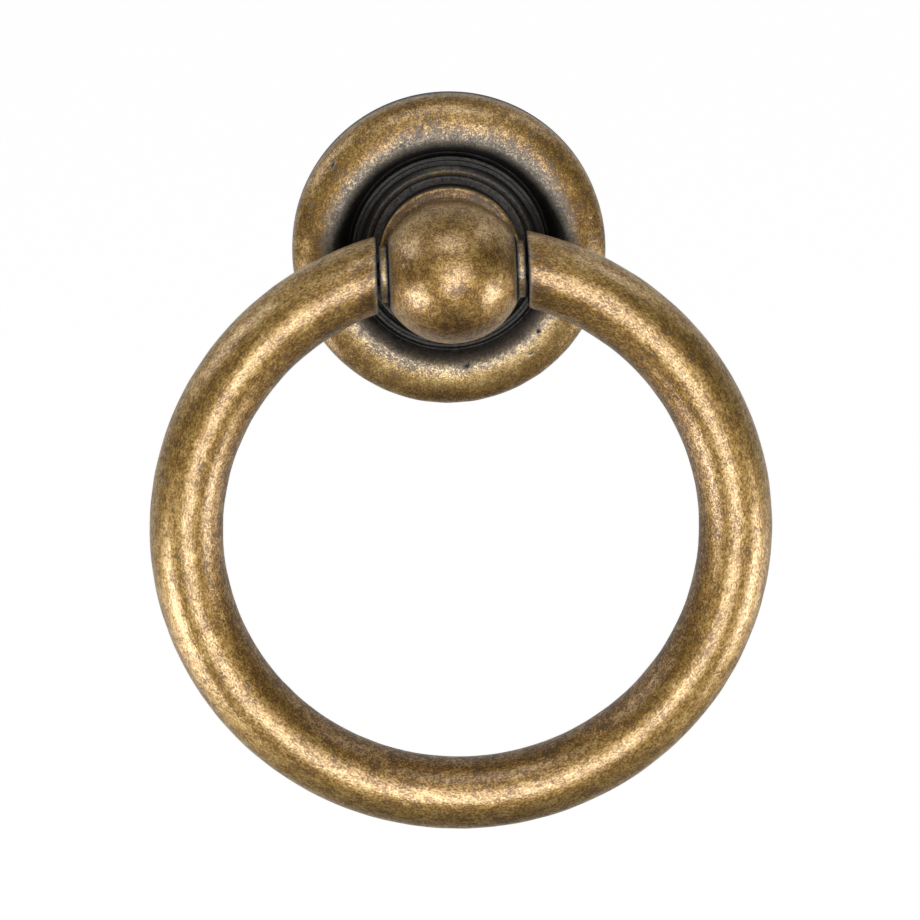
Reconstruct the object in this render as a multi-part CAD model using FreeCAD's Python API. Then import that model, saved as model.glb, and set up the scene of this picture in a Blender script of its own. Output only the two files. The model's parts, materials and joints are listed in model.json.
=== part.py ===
import FreeCAD, Part
import math
import os

# Ring pull handle: a turned ball post, staked in a dished rosette, carries an open ring of
# round bar on a pivot pin.
# Millimetres, +Z up. The origin is the centre of the rosette's back face, at the mouth of the
# screw hole. The back face lies in the plane y = 0, the handle stands out towards -Y, and the
# ring hangs on a pivot along X.

# Ring
RING_OUTER_DIAMETER = 63.5
RING_BAR_DIAMETER = 7.5
RING_END_ROUND = 0.25          # eased edge of each cut end

# Ball post
PIVOT_STANDOFF = 13.9          # back face to the pivot axis
BALL_DIAMETER = 14.5
BALL_WIDTH = 12.8              # across the two side flats
BOSS_DIAMETER = 5.7            # short round boss on each side flat
BOSS_LENGTH = 0.9
BOSS_TO_RING_GAP = 0.25
NECK_DIAMETER = 9.4
POST_BASE_DIAMETER = 14.5
POST_BASE_TOP = 6.6            # height of the base's front edge above the back face
POST_BASE_EDGE_ROUND = 0.3
TENON_DIAMETER = 7.0
TENON_FLARE = 0.7              # staked cone that holds the tenon in the rosette

# Screw hole in the tenon, at the tapping size of an M4 thread
SCREW_HOLE_DIAMETER = 3.3
SCREW_HOLE_DEPTH = 9.0
DRILL_POINT_ANGLE = 118.0

# Pivot pin
PIN_DIAMETER = 2.5
PIN_ENGAGEMENT = 3.5           # length of pin inside each end of the ring
PIN_END_CHAMFER = 0.3
PIN_RUNNING_CLEARANCE = 0.05   # radial, between the pin and the ring
PIN_END_CLEARANCE = 0.5        # from the pin's end to the bottom of the ring's hole

# Rosette, heights measured from the back face
ROSETTE_DIAMETER = 32.3
RIM_SIDE_TOP = 2.5             # where the upright side ends and the rim begins to round over
RIM_CREST_DIAMETER = 25.6
RIM_CREST_HEIGHT = 5.0
RIM_SLOPE_PLACE = 0.36         # steepest part of the inner slope, from 0 at the dish to 1 at the crest
DISH_DIAMETER = 20.6           # where the dish reaches its lowest height
DISH_HEIGHT = 3.1
STEP_DIAMETER = 20.0
STEP_HEIGHT = 3.75
FINE_STEP_DIAMETER = 19.2
FINE_STEP_HEIGHT = 3.95
BEAD_DIAMETER = 17.3           # circle along the bead's crest
BEAD_THICKNESS = 1.1
SEAT_DIAMETER = 16.0
SEAT_HEIGHT = 4.2              # flat on which the post stands
BACK_EDGE_CHAMFER = 0.3
BACK_RIM_INNER_DIAMETER = 26.0
BACK_HUB_DIAMETER = 12.6
BACK_RECESS_DEPTH = 1.3

ORIGIN = FreeCAD.Vector()
OUTWARD = FreeCAD.Vector(0, -1, 0)   # from the back face to the front
ACROSS = FreeCAD.Vector(1, 0, 0)     # along the pivot
PIVOT = OUTWARD * PIVOT_STANDOFF

boss_face = BALL_WIDTH / 2 + BOSS_LENGTH
ring_end = boss_face + BOSS_TO_RING_GAP
bar_radius = RING_BAR_DIAMETER / 2
ring_radius = RING_OUTER_DIAMETER / 2 - bar_radius
ring_centre = PIVOT - FreeCAD.Vector(0, 0, math.sqrt(ring_radius ** 2 - ring_end ** 2))


def at(radius, height):
    # A point of a turned section: radius from the screw axis, height above the back face.
    return FreeCAD.Vector(radius, -height, 0)


def line(start, end):
    return Part.LineSegment(start, end).toShape()


def lines(*points):
    return [line(start, end) for start, end in zip(points, points[1:])]


def arc(radius, height, size, start_angle, end_angle):
    # An arc of a turned section about a centre, from one angle to another, counted from the outward radius.
    def on_arc(angle):
        turn = math.radians(angle)
        return at(radius + size * math.cos(turn), height + size * math.sin(turn))
    middle_angle = (start_angle + end_angle) / 2
    return Part.Arc(on_arc(start_angle), on_arc(middle_angle), on_arc(end_angle)).toShape()


def quarter_oval(start, corner, end):
    # An exact quarter of an oval, tangent at its ends to the two sides of the corner.
    curve = Part.BezierCurve()
    curve.setPoles([start, corner, end])
    curve.setWeight(2, math.sqrt(0.5))
    return curve.toShape()


def slope(start, end, middle_radius):
    # An S-shaped slope, level at both ends and steepest near the middle radius.
    curve = Part.BezierCurve()
    curve.setPoles([start, at(middle_radius, -start.y), at(middle_radius, -end.y), end])
    return curve.toShape()


def turned(edges):
    # Turns a closed section about the screw axis.
    return Part.Face(Part.Wire(edges)).revolve(ORIGIN, OUTWARD, 360)


def round_bar_along_pivot(diameter, half_length):
    start = PIVOT - ACROSS * half_length
    return Part.makeCylinder(diameter / 2, 2 * half_length, start, ACROSS)


def make_rosette():
    outer_radius = ROSETTE_DIAMETER / 2
    crest_radius = RIM_CREST_DIAMETER / 2
    dish_radius = DISH_DIAMETER / 2
    step_radius = STEP_DIAMETER / 2
    fine_step_radius = FINE_STEP_DIAMETER / 2
    bead_radius = BEAD_DIAMETER / 2
    bead_round = BEAD_THICKNESS / 2
    seat_radius = SEAT_DIAMETER / 2
    hub_radius = BACK_HUB_DIAMETER / 2
    back_rim_radius = BACK_RIM_INNER_DIAMETER / 2
    tenon_radius = TENON_DIAMETER / 2

    slope_radius = dish_radius + RIM_SLOPE_PLACE * (crest_radius - dish_radius)
    side_top = at(outer_radius, RIM_SIDE_TOP)
    crest = at(crest_radius, RIM_CREST_HEIGHT)
    dish = at(dish_radius, DISH_HEIGHT)

    back_and_side = lines(
        at(tenon_radius + TENON_FLARE, 0),
        at(hub_radius, 0),
        at(hub_radius, BACK_RECESS_DEPTH),
        at(back_rim_radius, BACK_RECESS_DEPTH),
        at(back_rim_radius, 0),
        at(outer_radius - BACK_EDGE_CHAMFER, 0),
        at(outer_radius, BACK_EDGE_CHAMFER),
        side_top,
    )
    rim_and_slope = [
        quarter_oval(side_top, at(outer_radius, RIM_CREST_HEIGHT), crest),
        slope(crest, dish, slope_radius),
    ]
    steps = lines(
        dish,
        at(step_radius, DISH_HEIGHT),
        at(step_radius, STEP_HEIGHT),
        at(fine_step_radius, STEP_HEIGHT),
        at(fine_step_radius, FINE_STEP_HEIGHT),
        at(bead_radius + bead_round, FINE_STEP_HEIGHT),
    )
    bead = arc(bead_radius, FINE_STEP_HEIGHT, bead_round, 0, 180)
    seat_and_hole = lines(
        at(bead_radius - bead_round, FINE_STEP_HEIGHT),
        at(seat_radius, FINE_STEP_HEIGHT),
        at(seat_radius, SEAT_HEIGHT),
        at(tenon_radius, SEAT_HEIGHT),
        at(tenon_radius, TENON_FLARE),
        at(tenon_radius + TENON_FLARE, 0),
    )
    return turned(back_and_side + rim_and_slope + steps + [bead] + seat_and_hole)


def make_screw_hole():
    radius = SCREW_HOLE_DIAMETER / 2
    point_depth = radius / math.tan(math.radians(DRILL_POINT_ANGLE / 2))
    return turned(lines(
        ORIGIN,
        at(radius, 0),
        at(radius, SCREW_HOLE_DEPTH),
        at(0, SCREW_HOLE_DEPTH + point_depth),
        ORIGIN,
    ))


def make_ball_post():
    tenon_radius = TENON_DIAMETER / 2
    base_radius = POST_BASE_DIAMETER / 2
    neck_radius = NECK_DIAMETER / 2
    base_edge_radius = base_radius - POST_BASE_EDGE_ROUND
    base_edge_height = POST_BASE_TOP - POST_BASE_EDGE_ROUND
    cove = base_edge_radius - neck_radius

    tenon_and_base = lines(
        ORIGIN,
        at(tenon_radius + TENON_FLARE, 0),
        at(tenon_radius, TENON_FLARE),
        at(tenon_radius, SEAT_HEIGHT),
        at(base_radius, SEAT_HEIGHT),
        at(base_radius, base_edge_height),
    )
    base_edge = arc(base_edge_radius, base_edge_height, POST_BASE_EDGE_ROUND, 0, 90)
    neck_cove = arc(base_edge_radius, POST_BASE_TOP + cove, cove, -90, -180)
    neck = lines(
        at(neck_radius, POST_BASE_TOP + cove),
        at(neck_radius, PIVOT_STANDOFF),
        at(0, PIVOT_STANDOFF),
        ORIGIN,
    )
    stem = turned(tenon_and_base + [base_edge, neck_cove] + neck)

    # The ball's sides are cut flat by a bar as wide as the flats.
    ball = Part.makeSphere(BALL_DIAMETER / 2, PIVOT)
    ball = ball.common(round_bar_along_pivot(2 * BALL_DIAMETER, BALL_WIDTH / 2))
    bosses = round_bar_along_pivot(BOSS_DIAMETER, boss_face)
    pin_hole = round_bar_along_pivot(PIN_DIAMETER, boss_face)
    return stem.fuse([ball, bosses]).removeSplitter().cut([pin_hole, make_screw_hole()])


def make_pivot_pin():
    pin = round_bar_along_pivot(PIN_DIAMETER, ring_end + PIN_ENGAGEMENT)
    end_edges = [edge for edge in pin.Edges if edge.Closed]
    return pin.makeChamfer(PIN_END_CHAMFER, end_edges)


def make_ring():
    bar = Part.makeTorus(ring_radius, bar_radius, ring_centre, OUTWARD)

    # The ring is open at the top, with both ends cut square to the pivot.
    gap_depth = 2 * RING_BAR_DIAMETER
    gap = Part.makeBox(2 * ring_end, gap_depth, RING_OUTER_DIAMETER)
    gap.translate(ring_centre + FreeCAD.Vector(-ring_end, -gap_depth / 2, 0))
    ring = bar.cut(gap)

    end_faces = [face for face in ring.Faces if face.Surface.TypeId == "Part::GeomPlane"]
    end_edges = [edge for face in end_faces for edge in face.Edges]
    ring = ring.makeFillet(RING_END_ROUND, end_edges)

    pin_hole = round_bar_along_pivot(
        PIN_DIAMETER + 2 * PIN_RUNNING_CLEARANCE,
        ring_end + PIN_ENGAGEMENT + PIN_END_CLEARANCE,
    )
    return ring.cut(pin_hole)


os.makedirs("parts", exist_ok=True)
for name, make in {
    "rosette": make_rosette,
    "ball_post": make_ball_post,
    "pivot_pin": make_pivot_pin,
    "ring": make_ring,
}.items():
    solid = make()
    state = f"valid {solid.isValid()}, solids {len(solid.Solids)}"
    print(f"{name}: {state}, volume {solid.Volume:.1f} mm3")
    solid.exportStep(f"parts/{name}.step")
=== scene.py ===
import bpy
import json
import math
import numpy as np
from mathutils import Matrix, Vector


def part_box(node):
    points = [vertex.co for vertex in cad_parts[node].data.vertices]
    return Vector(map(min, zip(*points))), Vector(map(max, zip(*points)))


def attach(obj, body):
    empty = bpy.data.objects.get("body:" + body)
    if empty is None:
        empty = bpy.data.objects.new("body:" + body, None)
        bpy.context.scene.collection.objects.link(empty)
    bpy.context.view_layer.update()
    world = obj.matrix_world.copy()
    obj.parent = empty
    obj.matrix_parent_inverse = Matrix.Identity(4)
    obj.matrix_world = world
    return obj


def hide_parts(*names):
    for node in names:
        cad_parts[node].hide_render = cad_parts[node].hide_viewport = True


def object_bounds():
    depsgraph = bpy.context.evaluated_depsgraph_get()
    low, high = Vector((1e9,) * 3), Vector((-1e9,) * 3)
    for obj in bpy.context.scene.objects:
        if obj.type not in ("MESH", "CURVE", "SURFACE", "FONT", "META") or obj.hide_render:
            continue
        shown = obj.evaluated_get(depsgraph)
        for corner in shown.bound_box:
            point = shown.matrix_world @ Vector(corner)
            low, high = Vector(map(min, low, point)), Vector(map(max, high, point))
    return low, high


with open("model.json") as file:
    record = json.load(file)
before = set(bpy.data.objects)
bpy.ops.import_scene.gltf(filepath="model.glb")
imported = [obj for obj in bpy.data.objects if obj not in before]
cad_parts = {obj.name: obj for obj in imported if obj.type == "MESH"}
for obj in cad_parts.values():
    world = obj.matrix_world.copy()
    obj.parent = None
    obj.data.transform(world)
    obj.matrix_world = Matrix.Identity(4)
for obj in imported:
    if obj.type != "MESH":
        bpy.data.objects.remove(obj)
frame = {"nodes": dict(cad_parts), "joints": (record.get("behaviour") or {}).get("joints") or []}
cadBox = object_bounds()
mm = 0.001
print("frame loaded:", ", ".join(frame["nodes"]))

# sizes that the frame already knows, in mm
ringBox = [np.array(corner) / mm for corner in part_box("ring")]
rosetteBox = [np.array(corner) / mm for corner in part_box("rosette")]
postBox = [np.array(corner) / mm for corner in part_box("ball_post")]
pinBox = [np.array(corner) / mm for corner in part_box("pivot_pin")]
pivot = np.array(frame["joints"][0]["pos_m"]) / mm
barRadius = (ringBox[1][1] - ringBox[0][1]) / 2
ringRadius = (ringBox[1][0] - ringBox[0][0]) / 2 - barRadius
ballRadius = postBox[1][2]
bossFace = postBox[1][0]
pinRadius = (pinBox[1][2] - pinBox[0][2]) / 2


def toLinear(hexColour):
    # sRGB hex to the linear RGBA that sockets take
    srgb = np.array([int(hexColour[i:i + 2], 16) for i in (1, 3, 5)]) / 255
    linear = np.where(srgb <= 0.04045, srgb / 12.92, ((srgb + 0.055) / 1.055) ** 2.4)
    return (*linear.tolist(), 1.0)


# profiles: rows of radius, height and relief (0 in hollows that stay black, 1 where it is rubbed most; in a
# few places, noted there, it also holds painted light)

def cornerRows(corners, step):
    # A line through corners (radius, height, round, relief). Each inner corner becomes an arc tangent
    # to its two sides, with a point about every step; relief runs evenly from corner to corner.
    corners = np.array(corners, dtype=float)
    spots, relief = [corners[0, :2]], [corners[0, 3]]
    for before, corner, after in zip(corners, corners[1:], corners[2:]):
        into = (corner[:2] - before[:2]) / np.linalg.norm(corner[:2] - before[:2])
        onward = (after[:2] - corner[:2]) / np.linalg.norm(after[:2] - corner[:2])
        turn = math.atan2(into[0] * onward[1] - into[1] * onward[0], into @ onward)
        start = corner[:2] - into * corner[2] * math.tan(abs(turn) / 2)
        inward = np.array([-into[1], into[0]]) * math.copysign(1, turn)
        count = max(3, math.ceil(corner[2] * abs(turn) / step) + 1)
        sweep = np.linspace(0, abs(turn), count)[:, None]
        spots.extend(start + corner[2] * (into * np.sin(sweep) + inward * (1 - np.cos(sweep))))
        relief.extend([corner[3]] * count)
    spots.append(corners[-1, :2])
    relief.append(corners[-1, 3])
    spots = np.array(spots)
    along = np.concatenate([[0], np.cumsum(np.linalg.norm(np.diff(spots, axis=0), axis=1))])
    fill = np.concatenate([np.linspace(a, b, math.ceil((b - a) / step), endpoint=False)
                           for a, b in zip(along, along[1:]) if b - a > 1e-6] + [along[-1:]])
    return np.column_stack([np.interp(fill, along, column) for column in (*spots.T, relief)])


def ovalRows(centre, halfWidth, halfHeight, startAngle, endAngle, relief, step):
    # Part of an oval: centre + (half width * cos, half height * sin), from one angle in degrees to another.
    count = math.ceil(math.radians(abs(endAngle - startAngle)) * max(halfWidth, halfHeight) / step) + 1
    angle = np.radians(np.linspace(startAngle, endAngle, count))
    return np.column_stack([centre[0] + halfWidth * np.cos(angle), centre[1] + halfHeight * np.sin(angle),
                            np.full(count, relief)])


def slopeRows(start, end, middleRadius, relief, step):
    # An S-shaped slope: a cubic from start to end, level at both, pulled to the middle radius between.
    spare = 1.2    # the curve is longer than a straight line
    t = np.linspace(0, 1, math.ceil(spare * math.dist(start, end) / step) + 1)
    near, far = (1 - t) ** 3 + 3 * t * (1 - t) ** 2, t ** 3 + 3 * t ** 2 * (1 - t)
    radius = (1 - t) ** 3 * start[0] + 3 * t * (1 - t) * middleRadius + t ** 3 * end[0]
    return np.column_stack([radius, near * start[1] + far * end[1], np.full(len(t), relief)])


# surfaces: grids of points in mm, closed around their columns

def turnedGrid(rows, centre, axis, side, columns):
    # Profile rows turned about an axis: centre + height * axis + radius * (cos * side + sin * third).
    turn = np.linspace(0, 2 * np.pi, columns, endpoint=False)
    axis, side = np.array(axis, dtype=float), np.array(side, dtype=float)
    spoke = np.cos(turn)[:, None] * side + np.sin(turn)[:, None] * np.cross(axis, side)
    return np.array(centre) + rows[:, None, 1:2] * axis + rows[:, None, 0:1] * spoke


def outward(grid):
    # Normals: cross product of the differences along rows and columns, signed so that the enclosed
    # volume is positive.
    normal = np.cross(np.gradient(grid, axis=0), np.roll(grid, -1, axis=1) - np.roll(grid, 1, axis=1))
    normal *= np.sign(np.sum(grid * normal))
    return normal / np.maximum(np.linalg.norm(normal, axis=2, keepdims=True), 1e-9)


def waves(points, length, seed, count=40):
    # Smooth unevenness from 0 to 1: cosines of about one wavelength in many directions, added and squeezed.
    draw = np.random.default_rng(seed)
    heading = draw.normal(size=(count, 3))
    spread = length * draw.uniform(0.7, 1.4, (count, 1))
    heading *= 2 * np.pi / (spread * np.linalg.norm(heading, axis=1, keepdims=True))
    phase = draw.uniform(0, 2 * np.pi, count)
    total = sum(np.cos(points @ heading[k] + phase[k]) for k in range(count))
    return 0.5 + 0.5 * np.tanh(total / math.sqrt(count))


def frontSpots(grid, normal, spots):
    # Spots (x, z, half length, half width, lean, strength) as seen from the front: each is
    # strength * exp(-(a / half length)^2 - (b / half width)^2), with a and b measured from the spot's
    # middle and turned by its lean in degrees. Only what faces the front takes them.
    leastFacing = 0.05    # least part of a normal that points to the front
    total = np.zeros(grid.shape[:2])
    for x, z, halfLength, halfWidth, lean, strength in spots:
        right, up = grid[:, :, 0] - x, grid[:, :, 2] - z
        c, s = math.cos(math.radians(lean)), math.sin(math.radians(lean))
        a, b = (c * right + s * up) / halfLength, (c * up - s * right) / halfWidth
        total = np.maximum(total, strength * np.exp(-a ** 2 - b ** 2))
    return total * (normal[:, :, 1] < -leastFacing)


def surfacePiece(name, grid, layers, loop, body, node, material):
    # A mesh of quads over the grid. The rows form a loop, or the first and the last row are each drawn
    # to a point.
    rows, columns = grid.shape[:2]
    index = np.arange(rows * columns).reshape(rows, columns)
    points = grid.reshape(-1, 3)
    values = {label: layer.reshape(rows * columns, -1) for label, layer in layers.items()}
    if loop:
        index = np.concatenate([index, index[:1]])
        fans = np.empty((0, 3), dtype=int)
    else:
        index = index[1:-1] - columns + 2
        keep = np.concatenate([[0, (rows - 1) * columns], np.arange(columns, (rows - 1) * columns)])
        points = points[keep]
        points[0], points[1] = grid[0].mean(axis=0), grid[-1].mean(axis=0)
        values = {label: layer[keep] for label, layer in values.items()}
        first, last = index[0], index[-1]
        fans = np.concatenate([np.column_stack([np.zeros(columns, dtype=int), first, np.roll(first, -1)]),
                               np.column_stack([np.ones(columns, dtype=int), np.roll(last, -1), last])])
    right = np.roll(index, -1, axis=1)
    quads = np.stack([index[:-1], index[1:], right[1:], right[:-1]], axis=2).reshape(-1, 4)
    a, b, c = (points[quads[:, k]] for k in (0, 1, 2))
    if np.sum(a * np.cross(b - a, c - a)) < 0:    # faces point outwards
        quads, fans = quads[:, ::-1], fans[:, ::-1]
    mesh = bpy.data.meshes.new(name)
    mesh.from_pydata((points * mm).tolist(), [], quads.tolist() + fans.tolist())
    mesh.polygons.foreach_set("use_smooth", np.ones(len(mesh.polygons), dtype=bool))
    for label, layer in values.items():
        single = layer.shape[1] == 1
        store = mesh.attributes.new(label, "FLOAT" if single else "FLOAT_VECTOR", "POINT")
        store.data.foreach_set("value" if single else "vector", layer.ravel())
    mesh.materials.append(material)
    piece = bpy.data.objects.new(name, mesh)
    bpy.context.scene.collection.objects.link(piece)
    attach(piece, body)
    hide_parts(node)
    print(f"{name}: {len(points)} points, {2 * len(quads) + len(fans)} triangles")


# materials

def addNode(tree, kind, inputs=None, stops=(), **settings):
    # one node: settings are its own properties, an input takes a constant or another node's output,
    # and stops are the places and colours of a ramp
    node = tree.nodes.new(kind)
    for key, value in settings.items():
        setattr(node, key, value)
    for key, value in (inputs or {}).items():
        if isinstance(value, bpy.types.NodeSocket):
            tree.links.new(value, node.inputs[key])
        else:
            node.inputs[key].default_value = value
    for k, (place, colour) in enumerate(stops):
        stop = node.color_ramp.elements[k] if k < 2 else node.color_ramp.elements.new(1.0)
        stop.position, stop.color = place, toLinear(colour)
    return node


def newMaterial(name):
    material = bpy.data.materials.new(name)
    material.use_nodes = True
    material.node_tree.nodes.clear()
    return material, material.node_tree


# Antique brass: cast brass, blackened in a bath, rubbed back on the high parts and lacquered.
# The eye sees warm mottled gold with a fine speckle where it was rubbed, a silvery fringe where the
# rubbing stops, its pale grey partly a painted sheen of the lacquer, smooth near-black hollows, and over
# all of them the pale soft glints of the lacquer.
brassLook = {
    # rubbed metal, from its dark blotches to its palest grains
    "gold": ((0.18, "#4A3111"), (0.36, "#7C581F"), (0.54, "#AC8233"), (0.72, "#CFAB60"),
             (0.92, "#E8D198")),
    # blackened metal, from pits and hollows to the fringe, whose pale grey is partly a painted sheen
    "black": ((0.0, "#0C0B0B"), (0.08, "#2C2A28"), (0.22, "#3C3A37"), (0.36, "#716C66"),
              (0.52, "#948C81")),
    "middle": 0.54, "rubbedFrom": 0.44, "rubbedTo": 0.73, "breakUp": 0.80, "pitDarkness": 6.0,
    # size in mm and strength of the mottling
    "mottling": ((4.2, 0.22), (1.3, 0.42), (0.45, 0.58), (0.17, 1.10)),
    "noiseMiddle": 0.5, "noiseDetail": 2.0,
    "hollowRoughness": 0.74, "rubbedRoughness": 0.48, "coatRoughness": 0.31, "coatIor": 1.9,
    # lacquer left on the dark grains and in the hollows
    "dullTone": 0.34, "brightTone": 0.58, "dullShine": 0.45, "hollowShine": 0.16,
    # size and height in mm of the cast skin's dents and grain
    "skin": ((0.9, 0.018), (0.2, 0.022)),
}


def antiqueBrass():
    look = brassLook
    material, tree = newMaterial("antique_brass_rubbed")
    grain, relief, pits, stainShade = (addNode(tree, "ShaderNodeAttribute", attribute_name=name)
                                  for name in ("grain", "relief", "pits", "stainShade"))
    grain = grain.outputs["Vector"]
    # tone of the rubbed metal: mottling about its middle, darker in stains and painted shade, lighter in
    # painted highlights
    mottling = 0.0
    for size, strength in look["mottling"]:
        noise = addNode(tree, "ShaderNodeTexNoise",
                        {"Vector": grain, "Scale": 1 / size, "Detail": look["noiseDetail"]})
        centred = addNode(tree, "ShaderNodeMath", {0: noise.outputs[0], 1: look["noiseMiddle"]},
                          operation="SUBTRACT")
        mottling = addNode(tree, "ShaderNodeMath", {0: centred.outputs[0], 1: strength, 2: mottling},
                           operation="MULTIPLY_ADD").outputs[0]
    clean = addNode(tree, "ShaderNodeMath", {0: mottling, 1: look["middle"]}, operation="ADD")
    tone = addNode(tree, "ShaderNodeMath", {0: clean.outputs[0], 1: stainShade.outputs["Fac"]},
                   operation="SUBTRACT").outputs[0]
    # worn: relief with its border broken up by the mottling, less so in the hollows, and none in the pits
    pitted = addNode(tree, "ShaderNodeMath",
                     {0: pits.outputs["Fac"], 1: -look["pitDarkness"], 2: relief.outputs["Fac"]},
                     operation="MULTIPLY_ADD")
    torn = addNode(tree, "ShaderNodeMath", {0: mottling, 1: look["breakUp"], 2: 1.0},
                   operation="MULTIPLY_ADD")
    worn = addNode(tree, "ShaderNodeMath", {0: torn.outputs[0], 1: pitted.outputs[0]},
                   operation="MULTIPLY").outputs[0]
    gold = addNode(tree, "ShaderNodeValToRGB", {0: tone}, stops=look["gold"])
    black = addNode(tree, "ShaderNodeValToRGB", {0: worn}, stops=look["black"])
    rubbed = addNode(tree, "ShaderNodeMapRange", {0: worn, 1: look["rubbedFrom"], 2: look["rubbedTo"]},
                     interpolation_type="SMOOTHSTEP").outputs[0]
    colour = addNode(tree, "ShaderNodeMix", {0: rubbed, 6: black.outputs[0], 7: gold.outputs[0]},
                     data_type="RGBA")
    roughness = addNode(tree, "ShaderNodeMapRange",
                        {0: rubbed, 3: look["hollowRoughness"], 4: look["rubbedRoughness"]})
    # the lacquer is thin on dark grains and in the hollows
    onGrain = addNode(tree, "ShaderNodeMapRange",
                      {0: tone, 1: look["dullTone"], 2: look["brightTone"], 3: look["dullShine"]})
    onHigh = addNode(tree, "ShaderNodeMapRange", {0: rubbed, 3: look["hollowShine"]})
    shine = addNode(tree, "ShaderNodeMath", {0: onGrain.outputs[0], 1: onHigh.outputs[0]},
                    operation="MULTIPLY")
    normal = None
    for size, height in look["skin"]:
        noise = addNode(tree, "ShaderNodeTexNoise",
                        {"Vector": grain, "Scale": 1 / size, "Detail": look["noiseDetail"]})
        bump = addNode(tree, "ShaderNodeBump", {"Distance": height * mm, "Height": noise.outputs[0]})
        if normal:
            tree.links.new(normal, bump.inputs["Normal"])
        normal = bump.outputs[0]
    shader = addNode(tree, "ShaderNodeBsdfPrincipled", {
        "Base Color": colour.outputs[2], "Metallic": 1.0, "Roughness": roughness.outputs[0],
        "Normal": normal, "Coat Normal": normal, "Coat Weight": shine.outputs[0],
        "Coat Roughness": look["coatRoughness"], "Coat IOR": look["coatIor"]})
    addNode(tree, "ShaderNodeOutputMaterial", {"Surface": shader.outputs[0]})
    return material


# Black-oxide steel: a ground dowel, blackened and oiled. The eye sees no more than a dull dark glint
# in the gaps beside the ball.
pinLook = {
    "oxide": ((0.3, "#17171A"), (0.7, "#2C2C2E")),    # from black to worn
    "markSize": 0.3, "markDetail": 2.0, "darkRoughness": 0.35, "wornRoughness": 0.5,
}


def blackSteel():
    look = pinLook
    material, tree = newMaterial("black_oxide_steel")
    place = addNode(tree, "ShaderNodeTexCoord").outputs["Object"]
    marks = addNode(tree, "ShaderNodeTexNoise",
                    {"Vector": place, "Scale": 1 / (look["markSize"] * mm), "Detail": look["markDetail"]})
    colour = addNode(tree, "ShaderNodeValToRGB", {0: marks.outputs[0]}, stops=look["oxide"])
    roughness = addNode(tree, "ShaderNodeMapRange",
                        {0: marks.outputs[0], 3: look["darkRoughness"], 4: look["wornRoughness"]})
    shader = addNode(tree, "ShaderNodeBsdfPrincipled",
                     {"Base Color": colour.outputs[0], "Metallic": 1.0, "Roughness": roughness.outputs[0]})
    addNode(tree, "ShaderNodeOutputMaterial", {"Surface": shader.outputs[0]})
    return material


brass = antiqueBrass()
pinData = frame["nodes"]["pivot_pin"].data
pinData.materials.clear()
pinData.materials.append(blackSteel())
print("materials ready")

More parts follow.
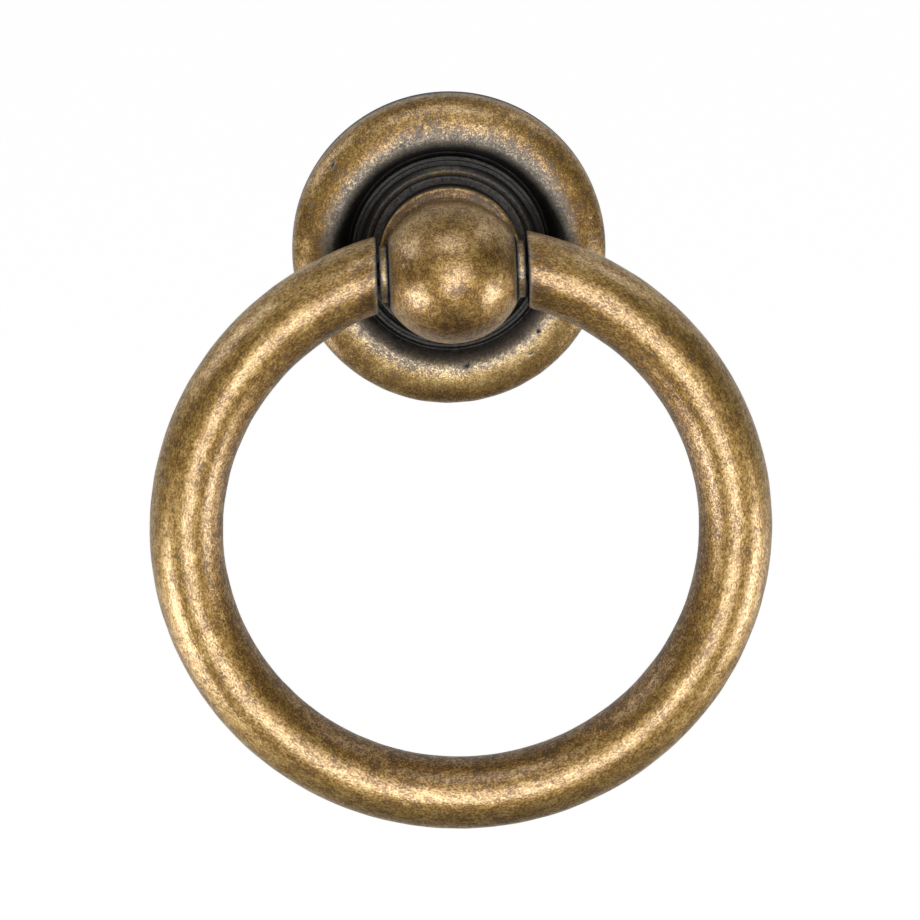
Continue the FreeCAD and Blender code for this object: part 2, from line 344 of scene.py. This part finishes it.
# rosette: a turned section, hollow at the back
rosetteSize = {
    "crestRadius": 12.1, "crestHeight": 5.0, "sideTop": 2.5, "slopePlace": 0.22,
    "dishRadius": 10.3, "dishHeight": 3.1, "footRound": 0.28,
    "stepRadius": 10.0, "stepHeight": 3.75, "fineStepRadius": 9.6, "fineStepHeight": 3.95,
    "beadRadius": 8.65, "beadRound": 0.55, "seatRadius": 8.0, "seatHeight": 4.2,
    "tenonRadius": 3.5, "tenonFlare": 0.7,
    "backChamfer": 0.3, "backRimRadius": 13.0, "backHubRadius": 6.3, "backRecess": 1.3,
    "edgeRound": 0.12, "edgeLine": 0.14, "columns": 480, "step": 0.17, "backStep": 0.8,
    "beadFill": 0.98,    # round of the bead's two corners, just short of meeting
    "waveLength": 2.8, "waveDepth": 0.045, "waveSeed": 3,
    # relief of the rim by radius: black in the dish, a silver fringe on the slope, rubbed gold from the
    # crest on
    "rimRelief": ((10.35, 0.08), (10.6, 0.13), (10.8, 0.19), (11.0, 0.26), (11.3, 0.37), (11.7, 0.45),
                  (12.3, 0.52), (12.8, 0.58), (13.5, 0.70), (15.6, 0.78), (16.15, 0.74)),
    # painted light and shade on the slope: how far inwards the fringe lies, by the angle from the right
    # side up over the top, farther in at the bottom where the slope catches the light, farther out beside
    # the ring's bar where it is partly darker patina and partly the bar's painted shadow; and the radius
    # where that ends and the width over which it fades
    "fringeLightShift": ((0, -1.1), (9, -1.0), (22, -0.45), (45, -0.15), (90, 0.0), (135, 0.0), (158, -0.2),
                    (171, -0.9), (180, -1.1), (195, -0.6), (212, 0.2), (230, 0.55), (270, 0.70),
                    (320, 0.60), (345, -0.2), (360, -1.1)),
    "fringeEnd": 14.0, "fringeFade": 2.0,
    # painted highlight on the bead: how much lighter it is at the top, where it catches the light, and
    # darker at its sides, by the same angle
    "beadPaintedHighlight": ((0, -0.16), (30, -0.13), (65, 0.0), (90, 0.09), (115, 0.0), (150, -0.13), (180, -0.16),
                (360, -0.16)),
    # pits and scratches; stains and painted shade, which along the top of the rim dims its highlight;
    # painted highlights on the bottom of the rim: x, z, half length, half width, lean, depth or strength
    "pits": ((-11.57, 9.67, 0.40, 0.13, 62, 0.12), (1.36, -11.74, 0.26, 0.13, 20, 0.14),
             (8.87, -8.44, 0.14, 0.14, 0, 0.14), (8.08, -10.70, 0.35, 0.16, 40, 0.06),
             (-2.46, 13.40, 0.90, 0.10, 75, 0.05), (-2.90, 14.20, 0.80, 0.10, 65, 0.05),
             (8.81, 12.14, 0.20, 0.14, 50, 0.08), (-13.89, 5.53, 0.25, 0.12, 70, 0.07)),
    "stainShadeSpots": ((-13.1, 1.4, 2.2, 1.3, 88, 0.16), (12.8, 2.2, 2.2, 1.3, 80, 0.16),
               (-3.0, 15.0, 3.0, 0.8, 8, 0.10), (15.0, 1.8, 1.6, 0.8, 80, 0.16),
               (-14.6, 4.0, 1.8, 0.8, 80, 0.12), (0.0, 12.9, 4.5, 1.0, 0, 0.19),
               (-7.4, 10.7, 4.0, 0.9, 34, 0.15), (7.4, 10.7, 4.0, 0.9, -34, 0.19),
               (12.1, 5.1, 4.5, 1.0, -67, 0.21), (-12.0, 5.1, 4.0, 0.9, 66, 0.12),
               (0.0, -14.9, 4.5, 0.8, 0, 0.08)),
    "paintedHighlightSpots": ((0.0, -13.2, 4.5, 0.8, 0, 0.15), (7.5, -10.9, 4.0, 0.8, 35, 0.15),
             (-7.5, -10.9, 4.0, 0.8, -35, 0.06), (11.0, -8.6, 3.0, 1.2, 52, 0.12)),
}


def rosetteRows(size):
    # The whole section, from the post's hole round the back, over the rim and down to the hole again,
    # and a column that is 1 on the rim. Corners are radius, height, round, relief.
    outer = rosetteBox[1][0]
    crest, dish = size["crestRadius"], size["dishRadius"]
    edge, line, bead, step = size["edgeRound"], size["edgeLine"], size["beadRound"], size["step"]
    tenon, flare = size["tenonRadius"], size["tenonFlare"]
    back = cornerRows([
        (tenon, size["seatHeight"], 0, 0.0),
        (tenon, flare, 0.05, 0.0),
        (tenon + flare, 0, 0.05, 0.25),
        (size["backHubRadius"], 0, edge, 0.35),
        (size["backHubRadius"], size["backRecess"], 0.2, 0.1),
        (size["backRimRadius"], size["backRecess"], 0.2, 0.1),
        (size["backRimRadius"], 0, edge, 0.35),
        (outer - size["backChamfer"], 0, 0.05, 0.2),
        (outer, size["backChamfer"], 0.1, 0.2),
        (outer, size["sideTop"], 0, 0.74),
    ], size["backStep"])
    # the rim's relief comes later, from its own table
    rim = np.concatenate([
        ovalRows((crest, size["sideTop"]), outer - crest, size["crestHeight"] - size["sideTop"], 0, 90,
                 0, step),
        slopeRows((crest, size["crestHeight"]), (dish, size["dishHeight"]),
                  dish + size["slopePlace"] * (crest - dish), 0, step)[1:],
    ])
    collar = cornerRows([
        (dish, size["dishHeight"], 0, 0.08),
        (size["stepRadius"], size["dishHeight"], size["footRound"], 0.06),
        (size["stepRadius"], size["stepHeight"], edge, 0.28),
        (size["stepRadius"] - line, size["stepHeight"], 0, 0.12),
        (size["fineStepRadius"], size["stepHeight"], 0.04, 0.06),
        (size["fineStepRadius"], size["fineStepHeight"], 0.06, 0.24),
        (size["fineStepRadius"] - line, size["fineStepHeight"], 0, 0.08),
        (size["beadRadius"] + bead, size["fineStepHeight"], 0.03, 0.06),
        (size["beadRadius"] + bead, size["fineStepHeight"] + bead, bead * size["beadFill"], 0.20),
        (size["beadRadius"] - bead, size["fineStepHeight"] + bead, bead * size["beadFill"], 0.46),
        (size["beadRadius"] - bead, size["fineStepHeight"], 0.02, 0.05),
        (size["seatRadius"], size["fineStepHeight"], 0.02, 0.05),
        # the seat is grey, a painted reflection of the lacquer seen at a grazing angle
        (size["seatRadius"], size["seatHeight"], 0.06, 0.30),
        (tenon, size["seatHeight"], 0, 0.08),
    ], step)
    onRim = np.concatenate([np.zeros(len(back)), np.ones(len(rim) - 1), np.zeros(len(collar) - 2)])
    return np.concatenate([back, rim[1:], collar[1:-1]]), onRim[:, None]


def makeRosette():
    size = rosetteSize
    rows, onRim = rosetteRows(size)
    radius, height = rows[:, :1], rows[:, 1:2]
    grid = turnedGrid(rows, (0, 0, 0), (0, -1, 0), (1, 0, 0), size["columns"])
    normal = outward(grid)
    pits = onRim * frontSpots(grid, normal, size["pits"])
    sunk = onRim * size["waveDepth"] * waves(grid, size["waveLength"], size["waveSeed"]) + pits
    # relief of the rim: its table read at the radius plus the painted light shift at that angle
    angle = np.linspace(0, 360, size["columns"], endpoint=False)
    fade = np.clip((size["fringeEnd"] - radius) / size["fringeFade"], 0, 1)
    lightShift = fade * np.interp(angle, *np.transpose(size["fringeLightShift"]))
    rimRelief = np.interp(radius + lightShift, *np.transpose(size["rimRelief"]))
    onBead = (np.abs(radius - size["beadRadius"]) < size["beadRound"]) & (height > size["fineStepHeight"])
    beadPaintedHighlight = onBead * np.interp(angle, *np.transpose(size["beadPaintedHighlight"]))
    relief = np.where(onRim > 0, rimRelief, rows[:, 2:3] + beadPaintedHighlight)
    # stains and painted shade, less the painted highlights
    stainShade = frontSpots(grid, normal, size["stainShadeSpots"]) - frontSpots(grid, normal, size["paintedHighlightSpots"])
    layers = {"relief": relief, "pits": pits, "stainShade": stainShade, "grain": grid.copy()}
    surfacePiece("rosette_cast", grid - normal * sunk[:, :, None], layers, True,
                 "base", "rosette", brass)


makeRosette()

# post: base, hollow neck, staked tenon and the thread for the screw
stemSize = {
    "baseRadius": 7.25, "baseTop": 6.6, "baseEdge": 0.3, "neckRadius": 4.7,
    "tenonRadius": 3.5, "tenonFlare": 0.7, "seatHeight": 4.2,
    "holeRadius": 1.65, "holeDepth": 9.0, "pointDepth": 1.0,
    "threadPitch": 0.7, "threadDepth": 0.3, "threadLength": 7.5, "threadLead": 0.3,
    "neckInBall": 0.5,    # part of the ball's radius that the neck stops short of the pivot
    # painted shade: the hollow of the neck under the ball is darker, from just inside the base's edge
    "covePaintedShade": 0.25, "coveDrop": 0.05, "coveInset": 0.9,
    "columns": 240, "step": 0.15, "threadStep": 0.07,
}


def makeStem():
    size = stemSize
    base, edge, neck = size["baseRadius"], size["baseEdge"], size["neckRadius"]
    cove = base - edge - neck
    neckEnd = -pivot[1] - size["neckInBall"] * ballRadius
    hole = cornerRows([
        (0, size["holeDepth"] + size["pointDepth"], 0, 0.0),
        (size["holeRadius"], size["holeDepth"], 0.05, 0.0),
        (size["holeRadius"], 0, 0, 0.3),
    ], size["threadStep"])
    outside = cornerRows([
        (size["holeRadius"], 0, 0, 0.3),
        (size["tenonRadius"] + size["tenonFlare"], 0, 0.05, 0.35),
        (size["tenonRadius"], size["tenonFlare"], 0.05, 0.2),
        (size["tenonRadius"], size["seatHeight"], 0.05, 0.0),
        (base, size["seatHeight"], 0.05, 0.05),
        # the base's side is grey, a painted reflection of the lacquer seen at a grazing angle
        (base, size["baseTop"] - 2 * edge, 0.05, 0.28),
        (base, size["baseTop"], edge, 0.72),
        (neck, size["baseTop"], cove, 0.72),
        (neck, neckEnd, 0.05, 0.2),
        (0, neckEnd, 0, 0.2),
    ], size["step"])
    rows = np.concatenate([hole, outside[1:]])
    grid = turnedGrid(rows, (0, 0, 0), (0, -1, 0), (1, 0, 0), size["columns"])
    # thread: a triangle wave of height and turn, faded out at both ends, cut outwards from the hole's wall
    turn = np.linspace(0, 1, size["columns"], endpoint=False)
    height = rows[:, 1:2]
    wave = np.abs(2 * ((height / size["threadPitch"] - turn) % 1) - 1)
    fade = np.clip((size["threadLength"] - height) / size["threadPitch"], 0, 1)
    fade = fade * np.clip(height / size["threadLead"], 0, 1)
    onWall = (np.arange(len(rows)) < len(hole))[:, None] & (np.abs(rows[:, :1] - size["holeRadius"]) < 1e-6)
    cut = onWall * fade * size["threadDepth"] * wave
    grid[:, :, [0, 2]] *= 1 + cut[:, :, None] / np.maximum(rows[:, None, :1], 1e-9)
    relief = np.repeat(rows[:, 2:3], size["columns"], axis=1)
    onCove = (height > size["baseTop"] - size["coveDrop"]) & (rows[:, :1] < base - size["coveInset"] * edge)
    stainShade = size["covePaintedShade"] * onCove + 0 * relief
    layers = {"relief": relief, "pits": 0 * relief, "stainShade": stainShade, "grain": grid}
    surfacePiece("post_stem", grid, layers, False, "base", "ball_post", brass)


makeStem()

# ball: turned about the pivot, with side flats and bosses
ballSize = {
    "flat": 6.4, "bossRadius": 2.85, "edgeRound": 0.12, "columns": 288, "step": 0.14,
    "bossRubbed": 0.45, "bossDark": 0.2,    # heights on the boss, above the flat
    "rubbedRelief": 0.78, "edgeDark": 0.5, "edgeDarkWidth": 0.25,
    "waveLength": 2.6, "waveDepth": 0.045, "waveSeed": 11,
    "pits": ((-4.9, 2.0, 0.16, 0.12, 0, 0.07), (-4.4, 1.7, 0.12, 0.10, 30, 0.06),
             (-3.08, 4.58, 0.14, 0.09, 0, 0.05)),
    # stains here are painted shade: darker between the highlights, over the middle highlight and at the
    # bottom
    "stainShadeSpots": ((3.9, 2.7, 1.4, 0.9, 20, 0.10), (-4.4, 1.7, 1.4, 0.9, -60, 0.12),
               (-0.4, 3.0, 1.0, 0.6, 0, 0.12), (0.0, -4.4, 2.6, 1.3, 0, 0.18),
               (0.3, -0.8, 1.8, 1.3, 0, 0.14)),
}


def makeBall():
    size = ballSize
    rim = math.sqrt(ballRadius ** 2 - size["flat"] ** 2)
    side = cornerRows([
        (0, bossFace, 0, 0.0),
        (pinRadius, bossFace, 0.02, 0.0),
        (size["bossRadius"], bossFace, size["edgeRound"], 0.45),
        (size["bossRadius"], size["flat"] + size["bossRubbed"], 0.05, 0.72),
        (size["bossRadius"], size["flat"] + size["bossDark"], 0.05, 0.4),
        (size["bossRadius"], size["flat"], 0.05, 0.0),
        (rim, size["flat"], 0, 0.05),
    ], size["step"])
    edge = math.degrees(math.acos(rim / ballRadius))
    cap = ovalRows((0, 0), ballRadius, ballRadius, edge, 0, size["rubbedRelief"], size["step"])[1:]
    cap[:, 2] -= size["edgeDark"] * np.exp(-(size["flat"] - cap[:, 1]) / size["edgeDarkWidth"])
    half = np.concatenate([side, cap])
    rows = np.concatenate([half, half[-2::-1] * [1, -1, 1]])
    grid = turnedGrid(rows, pivot, (1, 0, 0), (0, -1, 0), size["columns"])
    normal = outward(grid - pivot)
    onBall = (np.abs(rows[:, 1:2]) < size["flat"]).astype(float)
    pits = onBall * frontSpots(grid, normal, size["pits"])
    sunk = onBall * size["waveDepth"] * waves(grid, size["waveLength"], size["waveSeed"]) + pits
    layers = {"relief": np.repeat(rows[:, 2:3], size["columns"], axis=1), "pits": pits,
              "stainShade": onBall * frontSpots(grid, normal, size["stainShadeSpots"]), "grain": grid.copy()}
    surfacePiece("post_ball", grid - normal * sunk[:, :, None], layers, False,
                 "base", "ball_post", brass)


makeBall()

# ring: a round bar bent in a circle, its ends cut square to the pivot and drilled
ringSize = {
    "endGap": 0.25, "endRound": 0.25, "holeClearance": 0.05, "holeDepth": 4.0,
    "columns": 100, "rows": 840, "smoothRows": 8,    # the dents fade out over these last rows
    # end face: places of its rows between hole and edge, and angle and relief of the rows of its round
    "faceParts": (0.03, 0.35, 0.7, 0.95),
    "edgeAngles": (90, 70, 50, 30, 10), "edgeRelief": (0.20, 0.34, 0.44, 0.50, 0.55),
    "rubbedRelief": 0.78, "endDark": 0.2,
    "waveLength": 3.4, "waveDepth": 0.035, "waveSeed": 5, "grainStretch": 0.7,
    # painted shade and sheen: the inside of the loop is darker, as if shaded by the loop itself, and its
    # outside lighter
    "insidePaintedShade": 0.16, "outsidePaintedSheen": 0.05,
    "pits": ((-18.97, -5.0, 0.25, 0.18, 0, 0.06), (-9.95, 0.89, 0.22, 0.16, 30, 0.06),
             (-29.92, -19.96, 0.26, 0.22, 70, 0.08), (-28.99, -22.31, 0.18, 0.16, 0, 0.06),
             (-12.14, -50.25, 0.22, 0.16, 20, 0.06), (22.71, -10.84, 0.2, 0.16, 0, 0.05),
             (15.49, -5.88, 0.2, 0.16, 0, 0.05), (2.83, -56.51, 0.3, 0.18, 0, 0.05)),
    "stainShadeSpots": ((-27.6, -15.0, 3.2, 1.0, 70, 0.07), (-29.6, -22.5, 2.5, 0.8, 85, 0.06),
               (11.0, -1.6, 3.5, 1.6, -18, 0.09), (17.0, -4.6, 3.5, 1.5, -28, 0.09),
               (-8.4, -0.8, 1.2, 2.0, 0, 0.20), (8.4, -0.4, 1.3, 2.0, 0, 0.18),
               (-11.0, -50.3, 3.0, 1.2, -25, 0.07), (3.0, -53.0, 5.0, 0.8, 3, 0.06),
               (-6.3, -52.2, 2.2, 0.8, -12, 0.08), (22.4, -13.4, 2.4, 1.0, -50, 0.08),
               (-21.4, -5.9, 2.2, 0.9, 40, 0.08), (4.0, -57.2, 4.5, 0.8, 4, 0.08)),
}


def makeRing():
    size = ringSize
    around = np.linspace(0, 2 * np.pi, size["columns"], endpoint=False)
    end = bossFace + size["endGap"]
    centreZ = -math.sqrt(ringRadius ** 2 - end ** 2)

    def barRow(turn, radius):
        # A section of the bar: ring radius plus radius * cos outwards, radius * sin to the front.
        reach = ringRadius + radius * np.cos(around)
        return np.stack([reach * np.sin(turn), pivot[1] - radius * np.sin(around) + 0 * turn,
                         centreZ + reach * np.cos(turn)], axis=-1)

    def cutTurn(x, radius):
        # Where the section's points at this radius meet the plane at x.
        return np.arcsin(x / (ringRadius + radius * np.cos(around)))

    def holeRow(x, radius):
        # A circle about the pivot in the plane at x: radius * cos up, radius * sin to the front.
        return np.stack([np.full(len(around), x), pivot[1] - radius * np.sin(around),
                         radius * np.cos(around)], axis=1)

    # end: bottom and wall of the pin's hole, the flat face, then a quarter round onto the bar
    hole = pinRadius + size["holeClearance"]
    edgeRows = []
    for angle in np.radians(size["edgeAngles"]):
        radius = barRadius - size["endRound"] * (1 - math.cos(angle))
        edgeRows.append(barRow(cutTurn(end + size["endRound"] * (1 - math.sin(angle)), radius), radius))
    face, mouth = edgeRows[0], holeRow(end, hole)
    endRows = [holeRow(end + size["holeDepth"], 0), holeRow(end + size["holeDepth"], hole), mouth]
    endRows += [mouth + (face - mouth) * part for part in size["faceParts"]]
    endRows = np.stack(endRows + edgeRows)
    count = len(endRows)
    start = cutTurn(end + size["endRound"], barRadius)
    sweep = start + np.linspace(0, 1, size["rows"])[:, None] * (2 * np.pi - 2 * start)
    grid = np.concatenate([endRows, barRow(sweep, barRadius), endRows[::-1] * [-1, 1, 1]])
    turn = np.concatenate([np.repeat(start[None], count, axis=0), sweep,
                           np.repeat(2 * np.pi - start[None], count, axis=0)])
    # relief: black in the hole and on the face, then rubbed from the edge on
    ahead = np.concatenate([np.zeros(count), np.arange(size["rows"]), np.full(count, size["rows"] - 1)])
    fromEnd = np.minimum(ahead, ahead[::-1])
    relief = size["rubbedRelief"] - size["endDark"] * np.exp(-fromEnd)
    dark = np.concatenate([np.zeros(count - len(edgeRows)), size["edgeRelief"]])
    relief[:count], relief[-count:] = dark, dark[::-1]
    relief = np.repeat(relief[:, None], size["columns"], axis=1)
    # grain unrolled along the bar, a little drawn out lengthways
    grain = np.stack([turn * ringRadius * size["grainStretch"], barRadius * np.cos(around) + 0 * turn,
                      barRadius * np.sin(around) + 0 * turn], axis=2)
    normal = outward(grid - [0, pivot[1], centreZ])
    onBar = np.minimum(1, fromEnd / size["smoothRows"])[:, None]
    pits = onBar * frontSpots(grid, normal, size["pits"])
    sunk = onBar * size["waveDepth"] * waves(grid, size["waveLength"], size["waveSeed"]) + pits
    inside, outside = np.clip(-np.cos(around), 0, 1) ** 2, np.clip(np.cos(around), 0, 1) ** 2
    # stains, plus painted shade on the inside of the loop, less a painted sheen on its outside
    stainShade = (frontSpots(grid, normal, size["stainShadeSpots"]) + size["insidePaintedShade"] * inside
             - size["outsidePaintedSheen"] * outside)
    layers = {"relief": relief, "pits": pits, "stainShade": stainShade, "grain": grain}
    surfacePiece("ring_bar", grid - normal * sunk[:, :, None], layers, False,
                 "ring", "ring", brass)


makeRing()


def towards(azimuth, elevation):
    # Unit vector away from the handle, in degrees: azimuth from the front to the right, elevation upwards.
    turn, rise = math.radians(azimuth), math.radians(elevation)
    return Vector((math.sin(turn) * math.cos(rise), -math.cos(turn) * math.cos(rise), math.sin(rise)))


# camera: the photograph's angle
cameraSize = {
    "azimuth": -1.25, "elevation": 14.0, "roll": -2.05, "distance": 425.71, "aim": (0.195, -10.0, -20.46),
    "lens": 162.57, "sensor": 36, "nearest": 10,
}


def makeCamera():
    size = cameraSize
    turn, roll = math.radians(size["azimuth"]), math.radians(size["roll"])
    back = towards(size["azimuth"], size["elevation"])
    right = Vector((math.cos(turn), math.sin(turn), 0))
    up = back.cross(right)
    across = math.cos(roll) * right + math.sin(roll) * up
    upright = -math.sin(roll) * right + math.cos(roll) * up
    lens = bpy.data.cameras.new("photo_camera")
    lens.lens = size["lens"]
    lens.sensor_width = size["sensor"]
    lens.clip_start = size["nearest"] * mm
    camera = bpy.data.objects.new("photo_camera", lens)
    camera.matrix_world = Matrix((across, upright, back)).transposed().to_4x4()
    camera.location = (Vector(size["aim"]) + back * size["distance"]) * mm
    bpy.context.scene.collection.objects.link(camera)
    bpy.context.scene.camera = camera


makeCamera()

# studio: pale floor, white surroundings, soft lamps
studio = {
    "floorDrop": 400, "floorSize": 9000, "floorColour": "#8C8B87",
    # the floor's white for the camera, from one distance and level to another
    "glowNear": 400, "glowFar": 950, "nearGlow": 0.55, "farGlow": 0.985,
    # level of the room
    "room": 0.03,
    # white behind the handle that metal shows: its level, how far back the floor reaches it, and between
    # which headings to the back the surroundings do
    "whiteBehind": 0.48, "mirrorFar": 500, "cardFrom": -0.1, "cardTo": 0.6,
    # lamp: azimuth from the front, elevation, width, height, radiance
    "lampDistance": 600,
    "lamps": {
        "front_low": (1, -12, 300, 170, 6.8),
        "front_mid": (6, 9, 366, 234, 4.05),
        "top_front": (-5, 57, 436, 300, 2.0),
        "left_low": (-64, -28, 256, 256, 6.8),
        "right_low": (68, -26, 256, 256, 6.7),
        "left_back": (-100, -35, 300, 210, 1.8),
        "right_back": (105, -26, 210, 210, 1.6),
        "left_high": (-88, 33, 300, 210, 2.6),
        "right_high": (93, 50, 300, 170, 1.8),
    },
}


def makeLamp(name, azimuth, elevation, width, height, radiance):
    data = bpy.data.lights.new(name, "AREA")
    data.shape = "RECTANGLE"
    data.size, data.size_y = width * mm, height * mm
    data.energy = radiance * math.pi * data.size * data.size_y
    lamp = bpy.data.objects.new(name, data)
    heading = towards(azimuth, elevation)
    lamp.rotation_euler = heading.to_track_quat("Z", "Y").to_euler()
    lamp.location = (Vector((0, pivot[1], -ringRadius / 2)) + heading * studio["lampDistance"]) * mm
    lamp.visible_camera = False
    bpy.context.scene.collection.objects.link(lamp)


def rayShares(tree, card):
    # rays of the camera and of glass, which see plain white, and the card's share for rays off metal
    rays = addNode(tree, "ShaderNodeLightPath").outputs
    direct = addNode(tree, "ShaderNodeMath", {0: rays["Is Camera Ray"], 1: rays["Is Transmission Ray"]},
                     operation="MAXIMUM")
    mirrored = addNode(tree, "ShaderNodeMath", {0: rays["Is Glossy Ray"], 1: card}, operation="MULTIPLY")
    return direct.outputs[0], mirrored.outputs[0]


def makeFloor():
    half = studio["floorSize"] / 2 * mm
    low = cadBox[0][2] - studio["floorDrop"] * mm
    mesh = bpy.data.meshes.new("floor")
    corners = [(-half, -half, low), (half, -half, low), (half, half, low), (-half, half, low)]
    mesh.from_pydata(corners, [], [(0, 1, 2, 3)])
    material, tree = newMaterial("pale_matt_floor")
    place = addNode(tree, "ShaderNodeTexCoord").outputs["Object"]
    flat = addNode(tree, "ShaderNodeVectorMath", {0: place, 1: (1, 1, 0)}, operation="MULTIPLY")
    away = addNode(tree, "ShaderNodeVectorMath", {0: flat.outputs[0]}, operation="LENGTH").outputs["Value"]
    depth = addNode(tree, "ShaderNodeSeparateXYZ", {0: place}).outputs["Y"]
    # the camera and glass see white, more so farther off; metal sees it only behind the handle
    pale = addNode(tree, "ShaderNodeMapRange",
                   {0: away, 1: studio["glowNear"] * mm, 2: studio["glowFar"] * mm,
                    3: studio["nearGlow"], 4: studio["farGlow"]}).outputs[0]
    card = addNode(tree, "ShaderNodeMapRange",
                   {0: depth, 2: studio["mirrorFar"] * mm, 4: studio["whiteBehind"]}).outputs[0]
    direct, mirrored = rayShares(tree, card)
    shown = addNode(tree, "ShaderNodeMath", {0: direct, 1: pale, 2: mirrored}, operation="MULTIPLY_ADD")
    matt = addNode(tree, "ShaderNodeBsdfDiffuse", {"Color": toLinear(studio["floorColour"])})
    white = addNode(tree, "ShaderNodeEmission", {"Strength": shown.outputs[0]})
    both = addNode(tree, "ShaderNodeAddShader", {0: matt.outputs[0], 1: white.outputs[0]})
    addNode(tree, "ShaderNodeOutputMaterial", {"Surface": both.outputs[0]})
    mesh.materials.append(material)
    floor = bpy.data.objects.new("floor", mesh)
    bpy.context.scene.collection.objects.link(floor)


def makeWorld():
    world = bpy.data.worlds.new("white_studio")
    world.use_nodes = True
    bpy.context.scene.world = world
    tree = world.node_tree
    tree.nodes.clear()
    # the camera and glass see white all round, metal sees it as a card behind the handle
    heading = addNode(tree, "ShaderNodeTexCoord").outputs["Generated"]
    depth = addNode(tree, "ShaderNodeSeparateXYZ", {0: heading}).outputs["Y"]
    card = addNode(tree, "ShaderNodeMapRange",
                   {0: depth, 1: studio["cardFrom"], 2: studio["cardTo"],
                    4: studio["whiteBehind"]}).outputs[0]
    direct, mirrored = rayShares(tree, card)
    seen = addNode(tree, "ShaderNodeMath", {0: direct, 1: mirrored}, operation="MAXIMUM")
    room = addNode(tree, "ShaderNodeBackground", {"Color": (1, 1, 1, 1), "Strength": studio["room"]})
    white = addNode(tree, "ShaderNodeBackground", {"Color": (1, 1, 1, 1), "Strength": 1.0})
    mix = addNode(tree, "ShaderNodeMixShader",
                  {0: seen.outputs[0], 1: room.outputs[0], 2: white.outputs[0]})
    addNode(tree, "ShaderNodeOutputWorld", {"Surface": mix.outputs[0]})


for name, values in studio["lamps"].items():
    makeLamp(name, *values)
makeFloor()
makeWorld()
bpy.context.scene.view_settings.view_transform = "Standard"
print("studio ready")
